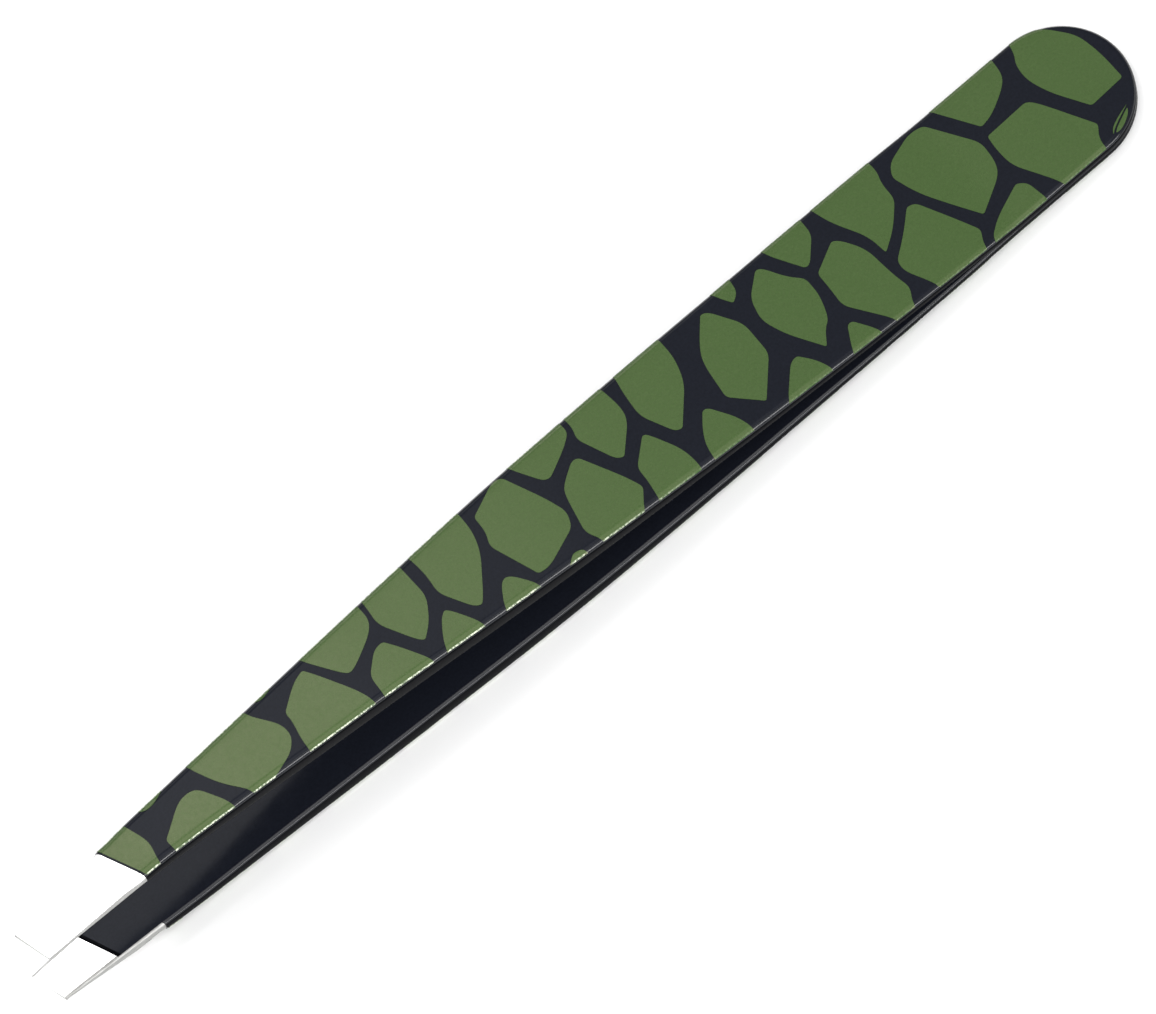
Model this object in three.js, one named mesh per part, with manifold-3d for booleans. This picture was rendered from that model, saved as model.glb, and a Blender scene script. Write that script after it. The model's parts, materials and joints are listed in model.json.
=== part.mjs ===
// Slant tweezers: two mirror-image spring-steel arms, spot-welded flat together at a rounded heel.
// Each arm is coated in black enamel back from its bare ground tip, with a printed ink film on its outer face.
// Every arm is split at its flexure, 24 mm from the butt, into a fixed heel and a blade that turns about Y.
// Millimetres. An arm is laid out with x from the butt to the tip, y across and z away from the plane
// where the two arms meet. The finished pair is then tipped so that it lies on its butt and its lower belly.
import * as THREE from 'three';
import { mergeVertices } from 'three/addons/utils/BufferGeometryUtils.js';
import Module from 'manifold-3d';

const wasm = await Module();
wasm.setup();

// Driving dimensions of the bare steel
const LENGTH = 95; // butt to the longer corner of the tip
const BUTT_RADIUS = 5.12; // round end of the heel, half its width
const TIP_WIDTH = 2.86;
const TIP_SLANT = 0.65; // how much longer the tip is on its -Y side
const SLANT_START = 84; // where the slant of the tip begins to show in the sections
const JAW_HALF_GAP = 3.5; // from the meeting plane to the inner edge of a tip
const HEEL_THICKNESS = 0.7;
const OUTER_ROUND = 0.5; // radius on the outer long edges
const INNER_ROUND = 0.2; // radius on the inner long edges
const ROUND_SHARE = 0.5; // the outer radius is never more than this share of the thickness
const INNER_ROUND_SHARE = 0.2;

// Flexure: the pseudo-rigid hinge that stands for the thin springy stretch ahead of the weld
const FLEX_X = 24;
const FLEX_Z = 1; // mid-thickness of the arm at the flexure
const FLEX_CLEARANCE = 0.06; // between heel and blade, taken up as the blade turns
const CLOSING_ANGLE = THREE.MathUtils.degToRad(2.81);
const LAND_LENGTH = 1.2; // gripping land at the tip, parallel to its twin once closed

// Layers
const ENAMEL = 0.08;
const FILM = 0.03;
const FILM_WRAP = THREE.MathUtils.degToRad(60); // how far the print reaches round the outer edge

// Where the enamel stops: further back on the outer face and sides, which are ground, than on the inner face
const BARE_OUTER_X = 86.83;
const BARE_INNER_X = 90.5;
const BARE_PER_Y = 0.365; // slant of both ends
const PRINT_SETBACK = 0.15; // from the end of the enamel back to the end of the print
const SLAB_DEPTH = 0.1; // how far the blank for the inner coat reaches into the steel before it is cut back

// Spot welds
const WELD_XS = { weld_nugget_rear: 4.2, weld_nugget_front: 9.2 };
const WELD_RADIUS = 1.6;
const WELD_DEPTH = 0.25; // into each arm
const WELD_SIDES = 16;

// The belly facet that the pair lies on: a straight stretch of the outer face on the line from the butt's edge
const BELLY_X = 64;
const BELLY_HALF_LENGTH = 2;
const BELLY_HEIGHT = 4.39;
const BUTT_EDGE_X = 0.35; // where the flat of the heel meets its rounded end
const BELLY_SLOPE = (BELLY_HEIGHT - HEEL_THICKNESS) / (BELLY_X - BUTT_EDGE_X);
const bellyHeight = (x) => BELLY_HEIGHT + (x - BELLY_X) * BELLY_SLOPE;
const landHeight = (x) => JAW_HALF_GAP - (LENGTH - x) * Math.tan(CLOSING_ANGLE);

// Sections of an arm ahead of its round end: x, width, height of the inner face, height of the outer face
const SECTIONS = [
  [BUTT_RADIUS, 10.24, 0, HEEL_THICKNESS],
  [9, 10.24, 0, HEEL_THICKNESS],
  [12.8, 10.24, 0, HEEL_THICKNESS],
  [17, 10.22, 0.25, 0.95],
  [20.5, 10.14, 0.44, 1.15],
  [FLEX_X, 10.02, 0.64, 1.36],
  [27.5, 9.88, 0.81, 1.61],
  [31, 9.7, 0.98, 1.88],
  [36, 9.46, 1.27, 2.28],
  [41, 9.12, 1.54, 2.69],
  [46, 8.72, 1.81, 3.12],
  [51, 8.24, 2.06, 3.54],
  [56, 7.62, 2.32, 3.9],
  [BELLY_X - BELLY_HALF_LENGTH, 6.76, 2.64, bellyHeight(BELLY_X - BELLY_HALF_LENGTH)],
  [BELLY_X + BELLY_HALF_LENGTH, 6.2, 2.85, bellyHeight(BELLY_X + BELLY_HALF_LENGTH)],
  [71, 5.54, 3.09, 4.66],
  [77.5, 4.66, 3.45, 4.85],
  [SLANT_START, 3.86, 3.76, 4.95],
  [87.5, 3.54, 3.66, 4.62],
  [90.5, 3.28, 3.54, 4.22],
  [LENGTH - LAND_LENGTH, 2.96, landHeight(LENGTH - LAND_LENGTH), 3.8],
  [LENGTH, TIP_WIDTH, JAW_HALF_GAP, 3.68],
];
const ARC_ROWS = 5; // rows round each quarter of the butt

/** The points of SECTIONS at x, in between by proportion. */
function sectionAt(x) {
  const next = Math.max(1, SECTIONS.findIndex((section) => section[0] >= x));
  const [low, high] = [SECTIONS[next - 1], SECTIONS[next]];
  const share = Math.max(0, (x - low[0]) / (high[0] - low[0]));
  return low.map((value, i) => value + (high[i] - value) * share);
}

/** Rows of a stretch of arm: the section at each x, and its turn round the butt (90 degrees ahead of it). */
function rowsBetween(from, to) {
  const rows = [];
  if (from === 0) {
    for (let i = 0; i < ARC_ROWS; i += 1) {
      rows.push({ section: SECTIONS[0], turn: ((Math.PI / 2) * i) / ARC_ROWS });
    }
  }
  const inside = SECTIONS.map((section) => section[0]).filter((x) => x > from && x < to);
  const ahead = from === 0 ? [...inside, to] : [from, ...inside, to];
  ahead.forEach((x) => rows.push({ section: sectionAt(x), turn: Math.PI / 2 }));
  return rows;
}

/** One corner point of a row: inset from the outline, at height z, on the +Y or -Y side. */
function placed({ section: [x, width], turn }, side, inset, z) {
  const reach = width / 2 - inset;
  const y = side * reach * Math.sin(turn);
  const back = turn < Math.PI / 2 ? reach * Math.cos(turn) : 0;
  const slant = Math.max(0, (x - SLANT_START) / (LENGTH - SLANT_START));
  const shear = (TIP_SLANT * slant * (y + TIP_WIDTH / 2)) / TIP_WIDTH;
  return new THREE.Vector3(x - back - shear, y, z);
}

/** Points down one side of a row, from the outer face to the wanted end, each layer `grow` mm proud of the steel. */
function outerEdge(row, side, grow, angles) {
  const [, , inner, outer] = row.section;
  const round = Math.min(OUTER_ROUND, ROUND_SHARE * (outer - inner));
  return angles.map((angle) => {
    const inset = round - (round + grow) * Math.sin(angle);
    return placed(row, side, inset, outer - round + (round + grow) * Math.cos(angle));
  });
}

function innerEdge(row, side, grow, angles) {
  const [, , inner, outer] = row.section;
  const round = Math.min(INNER_ROUND, INNER_ROUND_SHARE * (outer - inner));
  return angles.map((angle) => {
    const inset = round - (round + grow) * Math.sin(angle);
    const z = inner + round - (round + grow) * Math.cos(angle);
    return placed(row, side, inset, Math.max(0, z));
  });
}

const QUARTER = Math.PI / 2;
const OUTER_ANGLES = [0, QUARTER / 3, (2 * QUARTER) / 3, QUARTER];
const INNER_ANGLES = [QUARTER, QUARTER / 2, 0];
const FILM_ANGLES = [0, FILM_WRAP / 2, FILM_WRAP];

function plateLoop(row, grow) {
  const down = (side) => [
    ...outerEdge(row, side, grow, OUTER_ANGLES),
    ...innerEdge(row, side, grow, INNER_ANGLES),
  ];
  return [...down(1), ...down(-1).reverse()];
}

function filmLoop(row) {
  const top = (side) => outerEdge(row, side, ENAMEL + FILM, FILM_ANGLES);
  const base = (side) => outerEdge(row, side, ENAMEL, FILM_ANGLES);
  return [...top(1), ...base(1).reverse(), ...base(-1), ...top(-1).reverse()];
}

/** A closed skin over a run of loops, with both ends capped unless a loop has closed up on itself. */
function loft(loops) {
  const count = loops[0].length;
  const triangles = [];
  for (let i = 0; i + 1 < loops.length; i += 1) {
    for (let j = 0; j < count; j += 1) {
      const k = (j + 1) % count;
      const [a, b, c, d] = [loops[i][j], loops[i][k], loops[i + 1][k], loops[i + 1][j]];
      triangles.push([a, c, b], [a, d, c]);
    }
  }
  const cap = (loop, flip) => {
    const flat = loop.map((point) => new THREE.Vector2(point.y, point.z));
    THREE.ShapeUtils.triangulateShape(flat, []).forEach(([a, b, c]) => {
      triangles.push(flip ? [loop[a], loop[b], loop[c]] : [loop[a], loop[c], loop[b]]);
    });
  };
  const clockwise = (loop) => THREE.ShapeUtils.isClockWise(loop.map((p) => new THREE.Vector2(p.y, p.z)));
  const open = (loop) => loop.some((point) => Math.abs(point.y) > 1e-6);
  if (open(loops[0])) {
    cap(loops[0], !clockwise(loops[0]));
  }
  cap(loops.at(-1), clockwise(loops.at(-1)));
  const kept = triangles.filter(([a, b, c]) => {
    const doubleArea = b.clone().sub(a).cross(c.clone().sub(a)).length();
    return doubleArea > 1e-9;
  });
  return solidOf(new THREE.BufferGeometry().setFromPoints(kept.flat()));
}

/** A manifold solid of a closed geometry, with shared corners merged. */
function solidOf(geometry) {
  const bare = geometry.clone();
  bare.deleteAttribute('normal');
  bare.deleteAttribute('uv');
  const merged = mergeVertices(bare, 1e-5);
  const triVerts = new Uint32Array(merged.index.array);
  const vertProperties = new Float32Array(merged.attributes.position.array);
  return new wasm.Manifold(new wasm.Mesh({ numProp: 3, vertProperties, triVerts }));
}

function geometryOf(solid) {
  const { vertProperties, triVerts } = solid.getMesh();
  const geometry = new THREE.BufferGeometry();
  geometry.setAttribute('position', new THREE.BufferAttribute(vertProperties, 3));
  geometry.setIndex(new THREE.BufferAttribute(triVerts, 1));
  geometry.computeVertexNormals();
  return geometry;
}

const plate = (rows, grow) => loft(rows.map((row) => plateLoop(row, grow)));

/** A blank for the coat on the flat of the inner face. */
function innerSlabLoop(row) {
  const inner = row.section[2];
  const inset = INNER_ROUND;
  const corner = (side, z) => placed(row, side, inset, z);
  return [
    corner(1, inner + SLAB_DEPTH),
    corner(1, inner - ENAMEL),
    corner(-1, inner - ENAMEL),
    corner(-1, inner + SLAB_DEPTH),
  ];
}

/** The block ahead of a slanted plane that crosses the arm's centre line at x. */
function aheadOf(x) {
  const size = 40;
  const block = new THREE.BoxGeometry(size, size, size);
  block.translate(size / 2, 0, 0);
  block.rotateZ(Math.atan(BARE_PER_Y));
  block.translate(x, 0, 0);
  return solidOf(block);
}

function weldDisc(x, halfHeight) {
  const disc = new THREE.CylinderGeometry(WELD_RADIUS, WELD_RADIUS, 2 * halfHeight, WELD_SIDES);
  disc.rotateX(Math.PI / 2);
  disc.translate(x, 0, 0);
  return solidOf(disc);
}

const HALF_CLEARANCE = FLEX_CLEARANCE / 2;

/** The solids of one arm above the meeting plane, by what they are. */
function armSolids() {
  const heelRows = rowsBetween(0, FLEX_X - HALF_CLEARANCE);
  const bladeRows = rowsBetween(FLEX_X + HALF_CLEARANCE, LENGTH);
  const bareHeel = plate(heelRows, 0);
  const blade = plate(bladeRows, 0);
  const innerCoat = loft(bladeRows.map(innerSlabLoop)).subtract(aheadOf(BARE_INNER_X));
  const bladeCoat = plate(bladeRows, ENAMEL).subtract(aheadOf(BARE_OUTER_X)).add(innerCoat);
  const heel = Object.values(WELD_XS).reduce((left, x) => left.subtract(weldDisc(x, WELD_DEPTH)), bareHeel);
  return {
    heel,
    blade,
    heel_enamel: plate(heelRows, ENAMEL).subtract(bareHeel),
    blade_enamel: bladeCoat.subtract(blade),
    heel_print: loft(heelRows.map(filmLoop)),
    blade_print: loft(bladeRows.map(filmLoop)).subtract(aheadOf(BARE_OUTER_X - PRINT_SETBACK)),
  };
}

const FINISH = {
  heel: { color: 0xb9bbbd, roughness: 0.3, metalness: 1 },
  blade: { color: 0xc9cbcc, roughness: 0.22, metalness: 1 },
  heel_enamel: { color: 0x0a0c14, roughness: 0.16, metalness: 0 },
  blade_enamel: { color: 0x0a0c14, roughness: 0.16, metalness: 0 },
  heel_print: { color: 0x55783f, roughness: 0.3, metalness: 0 },
  blade_print: { color: 0x55783f, roughness: 0.3, metalness: 0 },
  weld: { color: 0x8c8e90, roughness: 0.6, metalness: 1 },
};

function named(name, solid, finish) {
  const mesh = new THREE.Mesh(geometryOf(solid), new THREE.MeshStandardMaterial(finish));
  mesh.name = name;
  return mesh;
}

const tweezers = new THREE.Group();
for (const [kind, solid] of Object.entries(armSolids())) {
  tweezers.add(named(`upper_${kind}`, solid, FINISH[kind]));
  tweezers.add(named(`lower_${kind}`, solid.mirror([0, 0, 1]), FINISH[kind]));
}
for (const [name, x] of Object.entries(WELD_XS)) {
  tweezers.add(named(name, weldDisc(x, WELD_DEPTH), FINISH.weld));
}

// Tip the pair about Y so that the belly facet is level, then centre it over its own footprint at z = 0.
const restingPair = new THREE.Group();
restingPair.add(tweezers);
tweezers.rotation.y = -Math.atan(BELLY_SLOPE);
restingPair.updateMatrixWorld(true);
const box = new THREE.Box3().setFromObject(restingPair, true);
tweezers.position.set(-(box.min.x + box.max.x) / 2, 0, -box.min.z);

export default restingPair;
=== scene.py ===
"""Slant tweezers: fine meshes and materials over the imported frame.

Shapes are laid out in an arm's own millimetres, as in the CAD: x from the butt to the tip,
y across, z away from the plane where the arms meet. The two pivots in the frame say where that
plane lies.
"""

import bisect
import json
import math

import bmesh
import bpy
from mathutils import Matrix, Vector, geometry

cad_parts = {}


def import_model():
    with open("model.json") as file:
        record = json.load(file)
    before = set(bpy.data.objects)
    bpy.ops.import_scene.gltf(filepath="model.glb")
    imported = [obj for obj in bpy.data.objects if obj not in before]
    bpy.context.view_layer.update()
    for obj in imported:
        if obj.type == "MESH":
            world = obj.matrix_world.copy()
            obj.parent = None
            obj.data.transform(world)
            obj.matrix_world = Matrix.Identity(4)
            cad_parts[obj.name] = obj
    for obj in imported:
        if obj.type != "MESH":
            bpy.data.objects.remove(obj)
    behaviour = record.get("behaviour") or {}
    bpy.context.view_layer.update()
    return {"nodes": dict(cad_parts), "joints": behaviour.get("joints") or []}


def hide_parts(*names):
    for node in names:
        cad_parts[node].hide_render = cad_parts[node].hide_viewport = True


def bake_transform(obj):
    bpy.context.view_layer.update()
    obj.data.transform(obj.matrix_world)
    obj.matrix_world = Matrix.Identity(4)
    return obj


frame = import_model()

MM = 0.001
TINY = 1e-6  # a length that counts as none, mm
QUARTER = math.pi / 2

# ---------------------------------------------------------------- driving dimensions, mm

LENGTH = 95.0
BUTT_RADIUS = 5.12
HEEL_THICKNESS = 0.7
TIP_WIDTH = 2.86
TIP_SLANT = 0.65
SLANT_START = 84.0
JAW_HALF_GAP = 3.5
LAND_LENGTH = 1.2
TIP_CHAMFER = 0.09
CLOSING_ANGLE = math.radians(2.81)
OUTER_ROUND, OUTER_SHARE = 0.5, 0.5
GROUND_ROUND, GROUND_RUN = 0.12, 1.6  # crisper edges on the tip, reached this far past the enamel
INNER_ROUND, INNER_SHARE = 0.2, 0.2
FLEX_X = 24.0
ENAMEL = 0.08
FILM = 0.03
FILM_WRAP = math.radians(54)
BARE_OUTER_X, BARE_INNER_X, BARE_PER_Y = 86.83, 90.5, 0.365
PRINT_SETBACK = 0.15
BELLY_X, BELLY_HEIGHT = 64.0, 4.39
BUTT_EDGE_X = 0.35  # where the flat of the heel meets its rounded end
BELLY_SLOPE = (BELLY_HEIGHT - HEEL_THICKNESS) / (BELLY_X - BUTT_EDGE_X)
TIP_LEAN = TIP_SLANT / TIP_WIDTH
INNER_COAT_START = 14.2  # where the arms have parted far enough for paint to lie between them
BEAD_TOE = 0.1  # share of the inner coat's thickness left at the very front of its bead


def land_height(x):
    return JAW_HALF_GAP - (LENGTH - x) * math.tan(CLOSING_ANGLE)


def belly_height(x):
    return BELLY_HEIGHT + (x - BELLY_X) * BELLY_SLOPE


# x, width, height of the inner face, height of the outer face
SECTIONS = [
    (0.0, 10.24, 0.0, HEEL_THICKNESS),
    (9.0, 10.24, 0.0, HEEL_THICKNESS),
    (12.8, 10.24, 0.0, HEEL_THICKNESS),
    (17.0, 10.22, 0.25, 0.95),
    (20.5, 10.14, 0.44, 1.15),
    (24.0, 10.02, 0.64, 1.36),
    (27.5, 9.88, 0.81, 1.61),
    (31.0, 9.7, 0.98, 1.88),
    (36.0, 9.46, 1.27, 2.28),
    (41.0, 9.12, 1.54, 2.69),
    (46.0, 8.72, 1.81, 3.12),
    (51.0, 8.24, 2.06, 3.54),
    (56.0, 7.62, 2.32, 3.9),
    (62.0, 6.76, 2.64, belly_height(62.0)),
    (66.0, 6.2, 2.85, belly_height(66.0)),
    (71.0, 5.54, 3.09, 4.66),
    (77.5, 4.66, 3.45, 4.85),
    (84.0, 3.86, 3.76, 4.95),
    (87.5, 3.54, 3.66, 4.62),
    (90.5, 3.28, 3.54, 4.22),
    (LENGTH - LAND_LENGTH, 2.96, land_height(LENGTH - LAND_LENGTH), 3.8),
    (LENGTH - TIP_CHAMFER, TIP_WIDTH, land_height(LENGTH - TIP_CHAMFER), 3.69),
    (LENGTH, TIP_WIDTH, JAW_HALF_GAP, 3.69 - TIP_CHAMFER),
]

# Scales of the print, each an outline on the opened-out outer face: (x, y) in mm, from the tip end
# to the butt end. Points beyond the face run off its edge, where the print is trimmed.
SCALES = [
    [(90, -6), (90, 6), (84.8, 6), (84.8, 1.8), (84.4, 0.6), (84.5, -0.3), (84.8, -1.3),
     (85.6, -6)],
    [(83.9, -6), (83.5, -1.7), (83.0, -1.4), (82.2, -1.5), (81.4, -1.9), (81.0, -6)],
    [(83.3, 6), (83.5, 1.1), (83.0, 0.8), (81.2, -0.4), (80.2, -0.5), (79.6, -0.2), (78.6, 1.9),
     (78.3, 6)],
    [(79.5, -6), (79.2, -2.0), (78.3, 0.4), (77.0, 2.3), (76.8, 6), (75.2, 6), (75.3, 2.6),
     (73.4, 2.0), (72.6, 1.1), (72.6, 0.0), (73.9, -2.1), (74.1, -6)],
    [(73.5, -6), (72.9, -2.5), (72.4, -2.2), (71.5, -2.5), (71.1, -6)],
    [(70.1, -1.7), (69.1, -2.0), (68.6, -1.1), (67.3, 1.7), (67.0, 3.0), (67.0, 6), (72.5, 6),
     (72.4, 2.1), (71.9, 0.3), (71.9, -0.4)],
    [(69.4, -6), (68.8, -2.7), (67.3, -0.1), (66.9, 0.3), (66.2, 0.1), (64.2, -1.0), (63.5, -1.8),
     (63.3, -6)],
    [(66.6, 6), (66.1, 1.4), (64.7, 0.1), (63.9, 0.0), (63.3, 1.0), (62.2, 3.3), (62.1, 6)],
    [(63.0, -6), (63.0, -3.0), (63.3, -1.2), (62.1, 1.4), (61.7, 1.8), (60.6, 0.9), (59.6, -0.6),
     (59.5, -6)],
    [(61.9, 6), (61.1, 3.0), (60.0, 1.4), (59.4, 1.0), (59.0, 1.5), (58.1, 3.4), (57.9, 6)],
    [(58.9, -6), (58.6, -2.0), (58.9, -0.2), (57.8, 2.1), (57.3, 2.4), (56.8, 1.9), (54.9, -0.6),
     (54.3, -2.2), (54.1, -6)],
    [(56.8, 6), (56.4, 3.6), (55.4, 2.1), (54.9, 1.9), (54.4, 2.3), (53.5, 3.9), (53.3, 6)],
    [(53.6, -2.8), (51.0, -4.0), (50.4, -3.8), (49.2, -0.6), (48.8, 1.0), (49.3, 2.1), (52.2, 3.3),
     (53.1, 3.2), (54.2, -0.5), (53.7, -1.5)],
    [(51.8, 6), (51.3, 4.2), (50.5, 3.6), (49.8, 3.8), (49.2, 6)],
    [(50.1, -6), (49.7, -4.1), (48.5, -1.8), (48.0, -1.6), (45.9, -2.7), (45.0, -3.4), (44.9, -6)],
    [(46.2, -1.6), (45.7, -1.5), (44.3, 1.7), (43.9, 3.0), (45.1, 4.5), (45.5, 6), (48.4, 6),
     (48.3, 4.3), (48.9, 3.0), (48.1, 0.0), (47.7, -0.6)],
    [(44.7, -6), (44.5, -3.6), (44.9, -2.6), (43.9, 0.2), (43.4, 0.5), (41.5, -1.4), (41.2, -2.4),
     (41.3, -4.2), (41.6, -6)],
    [(44.0, 6), (43.7, 4.3), (43.4, 2.9), (43.3, 1.7), (41.5, 0.1), (41.2, 0.3), (40.2, 2.6),
     (40.1, 4.2), (40.4, 6)],
    [(40.1, -6), (40.1, -4.3), (40.4, -3.2), (40.7, -1.1), (39.7, 1.3), (39.2, 1.5), (36.9, -1.0),
     (36.2, -2.9), (36.1, -6)],
    [(39.2, 6), (39.0, 3.8), (38.4, 2.6), (37.4, 1.4), (37.0, 1.5), (35.9, 3.5), (35.6, 6)],
    [(32.9, -4.1), (32.4, -3.9), (31.2, -1.7), (31.4, 1.1), (33.8, 3.7), (35.6, 1.7), (35.1, -1.2),
     (34.5, -2.3)],
    [(31.8, -6), (31.3, -4.4), (30.7, -3.3), (30.0, -3.8), (29.6, -6)],
    [(33.3, 6), (32.8, 4.7), (30.8, 2.6), (30.2, 2.5), (29.3, 3.8), (28.8, 6)],
    [(28.1, -4.2), (27.7, -4.0), (26.9, -2.4), (26.1, -1.5), (26.2, 0.1), (26.9, 1.8), (27.5, 2.2),
     (28.3, 3.3), (29.7, 0.7), (30.2, -1.1), (29.7, -2.8)],
    [(27.1, -6), (26.9, -4.6), (25.6, -2.1), (25.2, -2.1), (23.7, -3.7), (23.5, -6)],
    [(27.7, 6), (27.3, 4.7), (26.3, 3.0), (25.9, 3.0), (25.0, 4.6), (24.7, 6)],
    [(25.3, -1.2), (23.1, -2.4), (22.6, -2.0), (21.8, -0.4), (21.7, 2.4), (21.5, 3.7), (22.2, 4.8),
     (22.2, 6), (23.4, 6), (23.7, 4.8), (25.6, 1.7), (25.4, 0.1)],
    [(22.8, -6), (22.3, -3.6), (21.1, -1.0), (21.0, 0.7), (19.5, -0.3), (18.0, -1.9), (17.9, -3.4),
     (17.5, -4.3), (17.6, -6)],
    [(17.8, -0.9), (17.2, -0.7), (16.0, 2.0), (15.3, 3.7), (15.9, 4.7), (16.0, 6), (19.9, 6),
     (20.1, 4.6), (21.0, 2.6), (20.9, 1.7), (19.3, 0.5)],
    [(17.1, -3.2), (16.5, -4.1), (14.2, -4.9), (13.1, -4.7), (11.1, -1.1), (11.3, 0.6), (11.8, 1.5),
     (14.4, 3.0), (15.6, 0.8), (16.6, -1.2)],
    [(15.3, 6), (15.1, 4.7), (13.9, 3.8), (11.4, 2.8), (10.8, 3.3), (10.5, 6)],
    [(12.5, -6), (12.1, -5.2), (10.3, -1.9), (9.2, -2.1), (7.4, -3.1), (6.8, -3.8), (6.5, -6)],
    [(10.5, -1.1), (7.0, -1.2), (6.5, -0.6), (4.6, 3.4), (5.3, 4.3), (5.4, 6), (8.8, 6), (9.2, 4.6),
     (10.7, 1.6), (10.7, 0.1)],
    [(5.9, -2.4), (5.7, -3.7), (5.2, -4.4), (4.8, -6.2), (3.7, -6.2), (3.05, -4.7), (2.4, -4.05),
     (1.3, -2.4), (1.05, -0.4), (1.15, 2.0), (4.0, 2.1), (5.4, -0.6)],
    [(4.4, 4.75), (4.1, 4.3), (3.3, 3.95), (2.2, 3.65), (3.2, 4.06), (4.0, 4.42)],
    [(4.2, 4.75), (3.85, 4.5), (3.1, 4.16), (2.35, 3.85), (2.7, 4.3), (3.6, 4.75)],
]
# How far from each point of an outline its curve starts, at a sharp corner and at a slight bend,
# and the most of a side it may take up
CORNER_EASE, BEND_EASE, EASE_SHARE = 0.2, 1.1, 0.48
CURVE_PARTS = 6


# ---------------------------------------------------------------- the arm's surfaces, mm

class Curve:
    """A smooth curve through points that never swings past them (monotone cubic)."""

    def __init__(self, xs, ys):
        self.xs, self.ys = xs, ys
        chords = [(ys[i + 1] - ys[i]) / (xs[i + 1] - xs[i]) for i in range(len(xs) - 1)]
        self.slopes = [chords[0]]
        for before, after in zip(chords, chords[1:]):
            turning = before * after <= 0
            self.slopes.append(0.0 if turning else 2 * before * after / (before + after))
        self.slopes.append(chords[-1])

    def __call__(self, x):
        i = min(max(bisect.bisect_right(self.xs, x) - 1, 0), len(self.xs) - 2)
        span = self.xs[i + 1] - self.xs[i]
        t = (x - self.xs[i]) / span
        rise = self.ys[i + 1] - self.ys[i]
        a = self.slopes[i] * span - rise
        b = rise - self.slopes[i + 1] * span
        return self.ys[i] + t * rise + t * (1 - t) * ((1 - t) * a + t * b)


STATIONS = [section[0] for section in SECTIONS]
width_at = Curve(STATIONS, [section[1] for section in SECTIONS])
inner_at = Curve(STATIONS, [section[2] for section in SECTIONS])
outer_at = Curve(STATIONS, [section[3] for section in SECTIONS])
# How far the whole print lies off the drawn outlines, along the arm and across it
drift_along = Curve([0, 20, 32, 76, 90], [0, 0, 0.15, 0.12, 0.07])
drift_across = Curve([0, 9, 26, 36, 60, 75, 90], [0, 0.09, 0.11, 0.01, 0.01, -0.11, -0.09])


def outer_round(x):
    """The radius of the rounded edges of the outer face."""
    ground = min(max((x - BARE_OUTER_X) / GROUND_RUN, 0.0), 1.0)
    wanted = OUTER_ROUND + (GROUND_ROUND - OUTER_ROUND) * ground
    return min(wanted, OUTER_SHARE * (outer_at(x) - inner_at(x)))


def inner_round(x):
    return min(INNER_ROUND, INNER_SHARE * (outer_at(x) - inner_at(x)))


class Row:
    """One crossing of the arm.

    turn is its bearing round the butt, or 90 degrees anywhere ahead of that. slant is how far the
    row leans back for each mm of y, and shift moves all of it along the arm.
    """

    def __init__(self, x, turn=QUARTER, slant=0.0, shift=0.0):
        self.x, self.turn, self.slant, self.shift = x, turn, slant, shift

    def point(self, side, inset, height):
        """The point inset mm in from one side of the arm, at the height a curve gives for its x."""
        reach = width_at(self.x) / 2 - inset
        y = side * reach * math.sin(self.turn)
        x = self.x + self.shift - self.slant * y
        if self.turn < QUARTER:
            x = BUTT_RADIUS - reach * math.cos(self.turn)
        return Vector((x, y, height(x)))

    def outer_corner(self, side, grow, angle):
        r = outer_round(self.x)
        drop = r - (r + grow) * math.cos(angle)
        inset = r - (r + grow) * math.sin(angle)
        return self.point(side, inset, lambda x: outer_at(x) - drop)

    def inner_corner(self, side, grow, angle):
        r = inner_round(self.x)
        rise = r - (r + grow) * math.cos(angle)
        inset = r - (r + grow) * math.sin(angle)
        return self.point(side, inset, lambda x: max(0.0, inner_at(x) + rise))


def steps(low, high, pace):
    """Values from low to high, evenly spaced and no more than a pace apart."""
    count = max(1, math.ceil((high - low) / pace - TINY))
    return [low + (high - low) * i / count for i in range(count + 1)]


ARC_STEPS = 20
ROW_PACE = 0.6
END_RUN, BEAD_ROWS = 0.35, 5  # the last stretch of a layer, in finer rows
LEAN_RUN = 4.0  # the least length over which a slanted end comes in


def rows_to(end_x, slant, shift=0.0, start_x=None):
    """Rows from the butt, or from start_x, to a slanted end. The slant comes in on the way."""
    rows = []
    if start_x is None:
        rows = [Row(BUTT_RADIUS, turn) for turn in steps(0, QUARTER, QUARTER / ARC_STEPS)[:-1]]
        start_x = BUTT_RADIUS
    lean_from = min(SLANT_START, end_x - LEAN_RUN)
    fine_from = end_x - END_RUN
    for x in steps(start_x, fine_from, ROW_PACE) + steps(fine_from, end_x, END_RUN / BEAD_ROWS)[1:]:
        share = max(0.0, (x - lean_from) / (end_x - lean_from))
        rows.append(Row(x, slant=slant * share, shift=shift * share))
    return rows


# ---------------------------------------------------------------- meshes

def arm_to_frame():
    """The matrix from an arm's millimetres to the frame's metres, from the two flexure pivots."""
    pivot = {joint["name"]: Vector(joint["pos_m"]) for joint in frame["joints"]}
    upper, lower = pivot["upper_arm_flex"], pivot["lower_arm_flex"]
    up = (upper - lower).normalized()
    across = Vector((0, 1, 0))
    along = across.cross(up)
    origin = (upper + lower) / 2 - along * FLEX_X * MM
    turn = Matrix((along, across, up)).transposed().to_4x4()
    return Matrix.Translation(origin) @ turn @ Matrix.Scale(MM, 4)


TO_FRAME = arm_to_frame()
MIRROR = Matrix.Diagonal((1, 1, -1, 1))
ARMS = {"upper": TO_FRAME, "lower": TO_FRAME @ MIRROR}
SHARP_OVER = math.radians(40)


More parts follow.
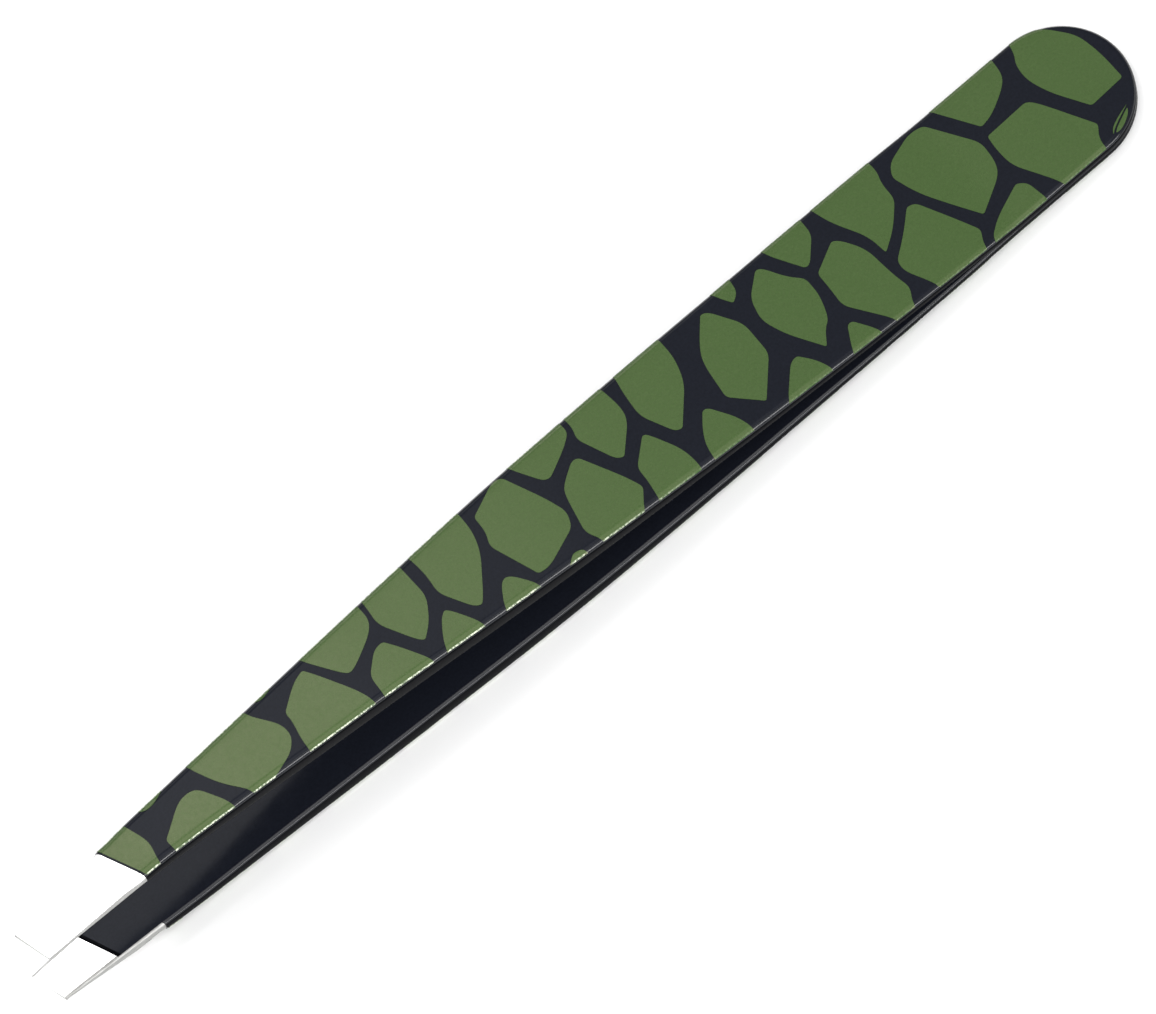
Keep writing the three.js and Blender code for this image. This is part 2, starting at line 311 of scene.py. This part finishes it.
def lofted(loops):
    """Points and faces of a closed skin over loops, with a cap on each end that is not a line."""
    count = len(loops[0])
    points = [point for loop in loops for point in loop]
    faces = []
    for i in range(len(loops) - 1):
        for j in range(count):
            k = (j + 1) % count
            faces.append((i * count + j, (i + 1) * count + j, (i + 1) * count + k, i * count + k))
    if max(abs(point.y) for point in loops[0]) > TINY:
        faces.append(tuple(range(count)))
    last = len(loops) - 1
    faces.append(tuple(last * count + j for j in reversed(range(count))))
    return points, faces


def joined(*parts):
    """The points and faces of several skins as one."""
    points, faces = [], []
    for more_points, more_faces in parts:
        base = len(points)
        points += more_points
        faces += [tuple(base + index for index in face) for face in more_faces]
    return points, faces


def piece(name, shape, matrix, looks):
    """A mesh object of points and faces in arm millimetres, smooth except at its sharp edges.

    The shape is ((points, faces), looks of faces): an index into looks for each face that does not
    have the first.
    """
    (points, faces), look_of = shape
    mesh = bpy.data.meshes.new(name)
    mesh.from_pydata([matrix @ point for point in points], [], faces)
    for look in looks:
        mesh.materials.append(look)
    for face, look in look_of.items():
        mesh.polygons[face].material_index = look
    bm = bmesh.new()
    bm.from_mesh(mesh)
    bmesh.ops.remove_doubles(bm, verts=bm.verts, dist=1e-8)
    bmesh.ops.dissolve_degenerate(bm, edges=bm.edges, dist=1e-9)
    big = [face for face in bm.faces if len(face.verts) > 4]
    bmesh.ops.triangulate(bm, faces=big)
    bmesh.ops.recalc_face_normals(bm, faces=bm.faces)
    bm.to_mesh(mesh)
    bm.free()
    mesh.shade_smooth()
    mesh.set_sharp_from_angle(angle=SHARP_OVER)
    obj = bpy.data.objects.new(name, mesh)
    bpy.context.scene.collection.objects.link(obj)
    return obj


OUTER_ANGLES = steps(0, QUARTER, QUARTER / 8)
INNER_ANGLES = steps(0, QUARTER, QUARTER / 5)[::-1]
EDGE_SUPPORT = 0.12  # points just inside each rounded edge keep the flats flat when shaded


def skin_side(row, side, grow):
    """Down one side of a row, from the edge of the outer face to the edge of the inner face."""
    outer = [row.outer_corner(side, grow, angle) for angle in OUTER_ANGLES]
    inner = [row.inner_corner(side, grow, angle) for angle in INNER_ANGLES]
    support = row.point(side, outer_round(row.x) + EDGE_SUPPORT, lambda x: outer_at(x) + grow)
    return [support] + outer + inner


def steel_loop(row):
    inside = [row.point(side, inner_round(row.x) + EDGE_SUPPORT, inner_at) for side in (1, -1)]
    return skin_side(row, 1, 0) + inside + skin_side(row, -1, 0)[::-1]


def coat_loop(row):
    """The coat over the outer face and both sides, as a C that grips the steel."""
    outside = skin_side(row, -1, ENAMEL)[::-1] + skin_side(row, 1, ENAMEL)
    inside = skin_side(row, 1, 0)[::-1] + skin_side(row, -1, 0)
    return outside + inside


def inner_coat_loop(row):
    """The coat on the flat of the inner face, which thins out in a rounded bead at its front."""
    inset = inner_round(row.x)
    past = max(0.0, row.x - (BARE_INNER_X - END_RUN)) / END_RUN
    depth = ENAMEL * max(BEAD_TOE, math.sqrt(1 - min(1.0, past) ** 2))
    lowest = [row.point(side, inset, lambda x: max(0.0, inner_at(x) - depth)) for side in (1, -1)]
    highest = [row.point(side, inset, inner_at) for side in (-1, 1)]
    return lowest + highest


# Columns of faces down the sides of a steel loop and a coat loop, and over the coat's rounded
# edges, counted in the order of their points above. Darker looks on the sides paint shade there,
# and a glossier look on the coat's rounded edges paints highlight
STEEL_SIDES = (*range(8, 16), *range(17, 25))
COAT_SIDES = (*range(4, 8), *range(23, 27))
COAT_EDGES = (*range(4), *range(8, 11), *range(20, 23), *range(27, 31))


def columns_of(loops, columns, look):
    """The look for the faces of a lofted skin that run along some of its columns."""
    return {i * len(loops[0]) + j: look for i in range(len(loops) - 1) for j in columns}


def steel_shape():
    """An arm's steel, with the second look, darker as painted shade, on both sides and the front
    end.
    """
    loops = [steel_loop(row) for row in rows_to(LENGTH, TIP_LEAN, -TIP_SLANT / 2)]
    points, faces = lofted(loops)
    return (points, faces), columns_of(loops, STEEL_SIDES, 1) | {len(faces) - 1: 1}


def enamel_shape():
    """An arm's coat: painted shade on its sides and bead, painted highlight on its rounded edges.
    """
    loops = [coat_loop(row) for row in rows_to(BARE_OUTER_X, BARE_PER_Y)]
    outside = lofted(loops)
    inner_rows = rows_to(BARE_INNER_X, BARE_PER_Y, start_x=INNER_COAT_START)
    shape = joined(outside, lofted([inner_coat_loop(row) for row in inner_rows]))
    count = len(shape[1])
    # The bead takes the side look too: a painted band of shade at the coat's front edge
    bead = {face: 1 for face in range(count - 4 * BEAD_ROWS - 1, count)}
    return shape, columns_of(loops, COAT_SIDES, 1) | columns_of(loops, COAT_EDGES, 2) | bead


# The print's mesh, mm on the opened-out face
BUTT_PARTS = 64
SIDE_PACE = 0.16
GRID_X, GRID_Y = 0.6, 0.55
GRID_START, GRID_STOP = 0.4, BARE_OUTER_X - 0.5
WRAP_PACE, WRAP_STOP = 0.25, BARE_OUTER_X + 0.7
WRAP_SHARES = (0.0, 0.2, 0.4, 0.6, 0.8)  # rows of points round the edge, as shares of the wrap
CUT_SHARE = 0.8  # beyond it lies the ink's trimmed edge, painted with a pale line of highlight
CUT_SLACK = 1e-3
INSIDE_ONLY, SAME_PLACE = 1, 1e-5  # the kind of output and the tolerance of the triangulation


def face_point(a, b, lift):
    """A point of the opened-out outer face, wrapped on to the arm `lift` mm above its steel."""
    if a < BUTT_RADIUS:
        centre_x, out = BUTT_RADIUS, Vector((a - BUTT_RADIUS, b))
    else:
        centre_x, out = a, Vector((0, b))
    r = outer_round(a)
    flat = width_at(a) / 2 - r
    reach = out.length
    if reach <= flat:
        return Vector((a, b, outer_at(a) + lift))
    angle = (reach - flat) / (r + ENAMEL)
    out = out.normalized() * (flat + (r + lift) * math.sin(angle))
    height = outer_at(a) - r + (r + lift) * math.cos(angle)
    return Vector((centre_x + out.x, out.y, height))


def wrap_reach(x, share=1.0):
    """How far out a share of the print's wrap round the edge lies on the opened-out face."""
    r = outer_round(x)
    return width_at(x) / 2 - r + (r + ENAMEL) * FILM_WRAP * share


def round_the_butt(reach):
    """Points round the butt from the +Y side to the -Y side, `reach` from its centre."""
    turns = steps(QUARTER, -QUARTER, -math.pi / BUTT_PARTS)
    return [Vector((BUTT_RADIUS - reach * math.cos(turn), reach * math.sin(turn)))
            for turn in turns]


def print_edge():
    """The trimmed edge of the print on the opened-out face, counterclockwise."""
    end = BARE_OUTER_X - PRINT_SETBACK
    lean = BARE_PER_Y * wrap_reach(end)
    far_side = [Vector((x, -wrap_reach(x))) for x in steps(BUTT_RADIUS, end + lean, ROW_PACE)[1:]]
    near_side = [Vector((x, wrap_reach(x))) for x in steps(BUTT_RADIUS, end - lean, ROW_PACE)[1:]]
    shares = steps(0, 1, SIDE_PACE / (2 * wrap_reach(end)))[1:-1]
    front = [far_side[-1].lerp(near_side[-1], share) for share in shares]
    return round_the_butt(wrap_reach(BUTT_RADIUS)) + far_side + front + near_side[::-1]


def rounded(outline):
    """The outline, counterclockwise, with curves for corners and points enough to follow an arm."""
    points = [Vector((x + drift_along(x), y + drift_across(x))) for x, y in outline]
    if sum(a.cross(b) for a, b in zip(points, points[1:] + points[:1])) < 0:
        points.reverse()
    curve = []
    for i, corner in enumerate(points):
        before, after = points[i - 1] - corner, points[(i + 1) % len(points)] - corner
        straightness = max(0.0, -before.normalized().dot(after.normalized())) ** 4
        ease = CORNER_EASE + (BEND_EASE - CORNER_EASE) * straightness
        start = corner + before.normalized() * min(ease, before.length * EASE_SHARE)
        end = corner + after.normalized() * min(ease, after.length * EASE_SHARE)
        for t in steps(0, 1, 1 / CURVE_PARTS):
            curve.append(start.lerp(corner, t).lerp(corner.lerp(end, t), t))
    fine = []
    for here, there in zip(curve, curve[1:] + curve[:1]):
        pieces = max(1, math.ceil((there - here).length / SIDE_PACE))
        fine += [here.lerp(there, i / pieces) for i in range(pieces)]
    return fine


def grid_points():
    """Points inside the face, for scales to follow it: a grid on the flat, rows round the edge."""
    points = []
    for x in steps(GRID_START, GRID_STOP, GRID_X):
        flat = wrap_reach(x, 0)
        rows = [i * GRID_Y for i in range(int(flat / GRID_Y))]
        if x < BUTT_RADIUS:
            rows = [y for y in rows if math.hypot(x - BUTT_RADIUS, y) < flat - GRID_Y / 2]
        points += [Vector((x, side * y)) for y in rows for side in (1, -1) if y > 0 or side == 1]
    for share in WRAP_SHARES:
        points += round_the_butt(wrap_reach(BUTT_RADIUS, share))
        for x in steps(BUTT_RADIUS, WRAP_STOP, WRAP_PACE)[1:]:
            points += [Vector((x, side * wrap_reach(x, share))) for side in (1, -1)]
    return points


def past_cut(point):
    """Whether a point of the opened-out face lies in the trimmed edge of the print."""
    a, b = point
    return a > BUTT_RADIUS and abs(b) > wrap_reach(a, CUT_SHARE) - CUT_SLACK


def scale_shape():
    """Every scale as a thin closed island of ink, with the second look, painted highlight, on its
    trimmed edge.
    """
    outlines = [print_edge()] + [rounded(outline) for outline in SCALES]
    points, loops = [], []
    for outline in outlines:
        loops.append(list(range(len(points), len(points) + len(outline))))
        points += [Vector(point) for point in outline]
    points += grid_points()
    found = geometry.delaunay_2d_cdt(points, [], loops, INSIDE_ONLY, SAME_PLACE, True)
    flat_points, triangles, owners = found[0], found[2], found[5]
    # Outline 0 is the print's own edge: what is kept lies inside it and inside a scale
    kept = [tri for tri, owner in zip(triangles, owners) if 0 in owner and len(owner) > 1]
    used = sorted({index for tri in kept for index in tri})
    place = {index: i for i, index in enumerate(used)}
    top = [face_point(*flat_points[index], ENAMEL + FILM) for index in used]
    base = [face_point(*flat_points[index], ENAMEL) for index in used]
    count = len(used)
    faces = [tuple(place[index] for index in tri) for tri in kept]
    sides = {}  # edges with a face of ink on one side only
    for face in faces:
        for i in range(3):
            edge = (face[i], face[(i + 1) % 3])
            if edge[::-1] in sides:
                del sides[edge[::-1]]
            else:
                sides[edge] = True
    bottoms = [tuple(count + index for index in reversed(face)) for face in faces]
    walls = [(b, a, count + a, count + b) for a, b in sides]
    # Faces wholly in the trimmed edge take the second look, a painted highlight
    at_cut = [past_cut(flat_points[index]) for index in used]
    trimmed = {i: 1 for i, face in enumerate(faces) if all(at_cut[index] for index in face)}
    first_wall = 2 * len(faces)
    trimmed |= {first_wall + i: 1 for i, (a, b) in enumerate(sides) if at_cut[a] and at_cut[b]}
    return (top + base, faces + bottoms + walls), trimmed


# ---------------------------------------------------------------- materials

def material(name, color, roughness, metallic=0.0):
    """A plain material, in the mean colour and roughness for viewers that skip its nodes."""
    made = bpy.data.materials.new(name)
    made.use_nodes = True
    shader = made.node_tree.nodes["Principled BSDF"]
    shader.inputs["Base Color"].default_value = (*color, 1)
    shader.inputs["Roughness"].default_value = roughness
    shader.inputs["Metallic"].default_value = metallic
    return made, made.node_tree, shader


def noise(tree, scale, detail=4.0, stretch=(1, 1, 1)):
    """A noise whose grain is 1/scale metres, stretched along the frame's axes."""
    place = tree.nodes.new("ShaderNodeTexCoord")
    mapping = tree.nodes.new("ShaderNodeMapping")
    mapping.inputs["Scale"].default_value = stretch
    texture = tree.nodes.new("ShaderNodeTexNoise")
    texture.inputs["Scale"].default_value = scale
    texture.inputs["Detail"].default_value = detail
    tree.links.new(place.outputs["Object"], mapping.inputs["Vector"])
    tree.links.new(mapping.outputs["Vector"], texture.inputs["Vector"])
    return texture.outputs["Fac"]


def ramp(tree, value, low, high, start=0.3, end=0.7):
    """value from start..end turned into low..high, which are numbers or colours."""
    node = tree.nodes.new("ShaderNodeValToRGB")
    node.color_ramp.elements[0].position = start
    node.color_ramp.elements[1].position = end
    for element, made in zip(node.color_ramp.elements, (low, high)):
        element.color = (*made, 1) if isinstance(made, tuple) else (made, made, made, 1)
    tree.links.new(value, node.inputs["Fac"])
    return node.outputs["Color"]


def bump(tree, shader, value, strength, distance):
    node = tree.nodes.new("ShaderNodeBump")
    node.inputs["Strength"].default_value = strength
    node.inputs["Distance"].default_value = distance
    tree.links.new(value, node.inputs["Height"])
    tree.links.new(node.outputs["Normal"], shader.inputs["Normal"])


def enamel_material():
    made, tree, shader = material("black_enamel", (0.0079, 0.0092, 0.0139), 0.15)
    tree.links.new(ramp(tree, noise(tree, 6000), (0.0068, 0.0079, 0.012), (0.009, 0.0105, 0.0158)),
                   shader.inputs["Base Color"])
    tree.links.new(ramp(tree, noise(tree, 900), 0.12, 0.18), shader.inputs["Roughness"])
    shader.inputs["Specular IOR Level"].default_value = 0.075
    bump(tree, shader, noise(tree, 1400, detail=2.0), 0.08, 0.00002)
    return made


def coat_side_shade_material():
    """The coat down the sides, smoother and, as painted shade, deeper in colour than on the broad
    faces.
    """
    made, tree, shader = material("coat_side_shade", (0.002, 0.0022, 0.003), 0.14)
    # A dark colour of painted shade, with a little random tone
    depth = ramp(tree, noise(tree, 4000), (0.0015, 0.0017, 0.0024), (0.0025, 0.0027, 0.0036))
    tree.links.new(depth, shader.inputs["Base Color"])
    shader.inputs["Specular IOR Level"].default_value = 0.012
    return made


def coat_edge_highlight_material():
    """The coat over the rounded edges, glossier so as to paint brighter highlight lines along them.
    """
    made, tree, shader = material("coat_edge_highlight", (0.006, 0.007, 0.0105), 0.14)
    tree.links.new(ramp(tree, noise(tree, 5000), (0.005, 0.006, 0.009), (0.007, 0.008, 0.012)),
                   shader.inputs["Base Color"])
    tree.links.new(ramp(tree, noise(tree, 2600), 0.1, 0.22), shader.inputs["Roughness"])
    # The raised specular level paints the highlight
    shader.inputs["Specular IOR Level"].default_value = 0.3
    return made


# The third colour is the pale painted highlight on the ink's trimmed edge
INK_DARK, INK_LIGHT, INK_GLINT = (0.0325, 0.074, 0.0165), (0.0395, 0.086, 0.0205), (0.62, 0.66, 0.52)
# Where the painted highlight along the ink's trimmed edge starts to show and shows in full, metres
# along the frame, and its least share
GLINT_FROM, GLINT_FULL, GLINT_LEAST = -0.007, 0.003, 0.12


def print_material():
    made, tree, shader = material("green_print", (0.036, 0.08, 0.0185), 0.27)
    tree.links.new(ramp(tree, noise(tree, 6500, detail=5.0), INK_DARK, INK_LIGHT),
                   shader.inputs["Base Color"])
    tree.links.new(ramp(tree, noise(tree, 3400), 0.22, 0.32), shader.inputs["Roughness"])
    shader.inputs["Specular IOR Level"].default_value = 0.42
    shader.inputs["Specular Tint"].default_value = (1.0, 0.82, 0.7, 1)
    bump(tree, shader, noise(tree, 7000, detail=3.0), 0.15, 0.00001)
    return made


def cut_glint_material():
    """The trimmed edge of the ink in painted highlight: pale glints on the front half of the arm,
    then dull ink.
    """
    made, tree, shader = material("trimmed_ink_glint", (0.3, 0.34, 0.25), 0.34)
    shader.inputs["Specular IOR Level"].default_value = 0.22
    place = tree.nodes.new("ShaderNodeTexCoord")
    parts = tree.nodes.new("ShaderNodeSeparateXYZ")
    fade = tree.nodes.new("ShaderNodeMapRange")
    fade.inputs["From Min"].default_value = GLINT_FROM
    fade.inputs["From Max"].default_value = GLINT_FULL
    fade.inputs["To Min"].default_value = GLINT_LEAST
    tree.links.new(place.outputs["Object"], parts.inputs["Vector"])
    tree.links.new(parts.outputs["X"], fade.inputs["Value"])
    # Pale specks of painted highlight, which fade out towards the butt
    specks = ramp(tree, noise(tree, 6500, detail=2.0), 0.12, 1.0, 0.42, 0.58)
    share = tree.nodes.new("ShaderNodeMath")
    share.operation = "MULTIPLY"
    tree.links.new(fade.outputs["Result"], share.inputs[0])
    tree.links.new(specks, share.inputs[1])
    tree.links.new(ramp(tree, share.outputs["Value"], INK_LIGHT, INK_GLINT, 0.0, 1.0),
                   shader.inputs["Base Color"])
    tree.links.new(ramp(tree, fade.outputs["Result"], 0.8, 0.34, GLINT_LEAST, 1.0),
                   shader.inputs["Roughness"])
    return made


def steel_material():
    made, tree, shader = material("tip_steel", (0.86, 0.86, 0.85), 0.2, metallic=1.0)
    tree.links.new(ramp(tree, noise(tree, 300, stretch=(1, 14, 1)), 0.16, 0.26),
                   shader.inputs["Roughness"])
    tree.links.new(ramp(tree, noise(tree, 700), (0.83, 0.83, 0.82), (0.89, 0.89, 0.88)),
                   shader.inputs["Base Color"])
    bump(tree, shader, noise(tree, 500, stretch=(1, 18, 1)), 0.1, 0.00001)
    return made


def steel_side_shade_material():
    """The sides and ends of the steel, duller than its ground faces and darker as painted shade."""
    made, tree, shader = material("steel_side_shade", (0.4, 0.4, 0.39), 0.55, metallic=1.0)
    grain = noise(tree, 900, stretch=(1, 1, 10))
    tree.links.new(ramp(tree, grain, (0.35, 0.35, 0.34), (0.45, 0.45, 0.44)),
                   shader.inputs["Base Color"])
    tree.links.new(ramp(tree, noise(tree, 1300), 0.48, 0.62), shader.inputs["Roughness"])
    return made


def weld_material():
    made, tree, shader = material("weld_metal", (0.3, 0.3, 0.3), 0.55, metallic=1.0)
    tree.links.new(ramp(tree, noise(tree, 1500), (0.2, 0.19, 0.18), (0.4, 0.4, 0.41)),
                   shader.inputs["Base Color"])
    bump(tree, shader, noise(tree, 2500), 0.4, 0.00003)
    return made


COAT_LOOKS = [enamel_material(), coat_side_shade_material(), coat_edge_highlight_material()]
STEEL_LOOKS = [steel_material(), steel_side_shade_material()]
WELD_LOOK = weld_material()
PRINT_LOOKS = [print_material(), cut_glint_material()]


# ---------------------------------------------------------------- the two arms

def arm(name, matrix):
    """One arm's steel, coat and print, each one piece from the heel into the blade, in place of the
    frame's heel and blade parts.
    """
    steel = piece(f"{name}_steel", steel_shape(), matrix, STEEL_LOOKS)
    coat = piece(f"{name}_coat", enamel_shape(), matrix, COAT_LOOKS)
    scales = piece(f"{name}_scales", scale_shape(), matrix, PRINT_LOOKS)
    parts = [
        (steel, "tip_steel", ("heel", "blade")),
        (coat, "black_enamel", ("heel_enamel", "blade_enamel")),
        (scales, "green_print", ("heel_print", "blade_print")),
    ]
    for obj, slot, nodes in parts:
        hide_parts(*(f"{name}_{node}" for node in nodes))
        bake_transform(obj)


for arm_name, arm_matrix in ARMS.items():
    arm(arm_name, arm_matrix)

for nugget in ("weld_nugget_rear", "weld_nugget_front"):
    frame["nodes"][nugget].data.materials.clear()
    frame["nodes"][nugget].data.materials.append(WELD_LOOK)


# ---------------------------------------------------------------- floor, light and camera

FLOOR_RADIUS, FLOOR_HEIGHT, FLOOR_SIDES = 1.5, -0.02 * MM, 64  # metres, metres, corners


def floor():
    """A broad pale sheet, under the whole of the light and just clear of the lowest ink."""
    bm = bmesh.new()
    rim = []
    for i in range(FLOOR_SIDES):
        turn = 2 * math.pi * i / FLOOR_SIDES
        x, y = FLOOR_RADIUS * math.cos(turn), FLOOR_RADIUS * math.sin(turn)
        rim.append(bm.verts.new((x, y, FLOOR_HEIGHT)))
    bm.faces.new(rim)
    mesh = bpy.data.meshes.new("floor")
    bm.to_mesh(mesh)
    bm.free()
    made, tree, shader = material("pale_floor", (0.94, 0.94, 0.94), 0.7)
    tree.links.new(ramp(tree, noise(tree, 60), (0.93, 0.93, 0.93), (0.95, 0.95, 0.95)),
                   shader.inputs["Base Color"])
    mesh.materials.append(made)
    obj = bpy.data.objects.new("floor", mesh)
    bpy.context.scene.collection.objects.link(obj)


# The low panel over the tips is four that overlap: where each starts along the arms in mm, and its
# radiance
PANEL_STEPS = ((0.0, 1.4), (22.0, 0.5), (34.0, 0.5), (46.0, 0.7))
PANEL_END = 140.0
PANEL_DIRECTION, PANEL_DISTANCE, PANEL_HEIGHT, PANEL_APART = (0, -0.386, 0.922), 0.148, 0.06, 0.001
NADIR, ZENITH = 0.12, 1.02  # strength of the dome straight below and straight above


def softbox(name, aim_x, direction, distance, width, height, radiance):
    """An even panel that faces the arms' centre line at aim_x, from a direction in their axes."""
    data = bpy.data.lights.new(name, "AREA")
    data.shape = "RECTANGLE"
    data.size, data.size_y = width, height
    data.energy = radiance * math.pi * width * height
    obj = bpy.data.objects.new(name, data)
    bpy.context.scene.collection.objects.link(obj)
    ray = (TO_FRAME.to_3x3() @ Vector(direction)).normalized()
    obj.location = TO_FRAME @ Vector((aim_x, 0, 0)) + ray * distance
    obj.rotation_euler = (-ray).to_track_quat("-Z", "Y").to_euler()


def world():
    """A dome that is bright overhead and dims towards the horizon and below it."""
    made = bpy.data.worlds.new("studio")
    made.use_nodes = True
    tree = made.node_tree
    place = tree.nodes.new("ShaderNodeTexCoord")
    parts = tree.nodes.new("ShaderNodeSeparateXYZ")
    rise = tree.nodes.new("ShaderNodeMapRange")
    rise.inputs["To Min"].default_value = NADIR
    rise.inputs["To Max"].default_value = ZENITH
    background = tree.nodes["Background"]
    background.inputs["Color"].default_value = (1.0, 1.0, 1.0, 1)
    tree.links.new(place.outputs["Generated"], parts.inputs["Vector"])
    tree.links.new(parts.outputs["Z"], rise.inputs["Value"])
    tree.links.new(rise.outputs["Result"], background.inputs["Strength"])
    bpy.context.scene.world = made


def lights():
    """A broad panel overhead, a low strip on each side, a low panel brighter towards the tips."""
    world()
    middle = LENGTH / 2
    softbox("overhead", middle, (0.1, 0.45, 0.89),
            distance=0.6, width=0.55, height=0.5, radiance=2.0)
    softbox("near_strip", middle, (-0.14, 0.93, 0.32),
            distance=0.5, width=0.4, height=0.1, radiance=13.0)
    softbox("far_strip", middle, (-0.16, -0.88, 0.45),
            distance=0.5, width=0.4, height=0.1, radiance=4.0)
    for i, (start, radiance) in enumerate(PANEL_STEPS):
        softbox(f"tip_panel_{i}", (start + PANEL_END) / 2, PANEL_DIRECTION,
                distance=PANEL_DISTANCE + PANEL_APART * i, width=(PANEL_END - start) * MM,
                height=PANEL_HEIGHT, radiance=radiance)


# The camera's axes before its roll, and the point it aims at in mm, both in the arms' own axes
VIEW_RIGHT, VIEW_UP = Vector((-0.9861, 0.0639, 0.1533)), Vector((0, -0.9231, 0.3845))
VIEW_ROLL = math.radians(40.43)
VIEW_AIM = Vector((47.57, -0.16, 0))
VIEW_DISTANCE, VIEW_WIDTH, SENSOR_WIDTH = 1.2, 0.07635, 36  # metres, metres, mm


def camera():
    """A long lens that looks down on the near side, with the tips at lower left."""
    data = bpy.data.cameras.new("camera")
    data.sensor_width = SENSOR_WIDTH
    data.lens = data.sensor_width * VIEW_DISTANCE / VIEW_WIDTH
    data.clip_start, data.clip_end = 0.01, 10
    obj = bpy.data.objects.new("camera", data)
    bpy.context.scene.collection.objects.link(obj)
    lean = TO_FRAME.to_3x3().normalized()
    back = VIEW_RIGHT.cross(VIEW_UP)
    across = math.cos(VIEW_ROLL) * VIEW_RIGHT - math.sin(VIEW_ROLL) * VIEW_UP
    upright = math.sin(VIEW_ROLL) * VIEW_RIGHT + math.cos(VIEW_ROLL) * VIEW_UP
    turn = Matrix([lean @ axis for axis in (across, upright, back)]).transposed().to_4x4()
    aim = TO_FRAME @ VIEW_AIM
    obj.matrix_world = Matrix.Translation(aim + (lean @ back) * VIEW_DISTANCE) @ turn
    bpy.context.scene.camera = obj


floor()
lights()
camera()
bpy.context.scene.view_settings.view_transform = "Standard"
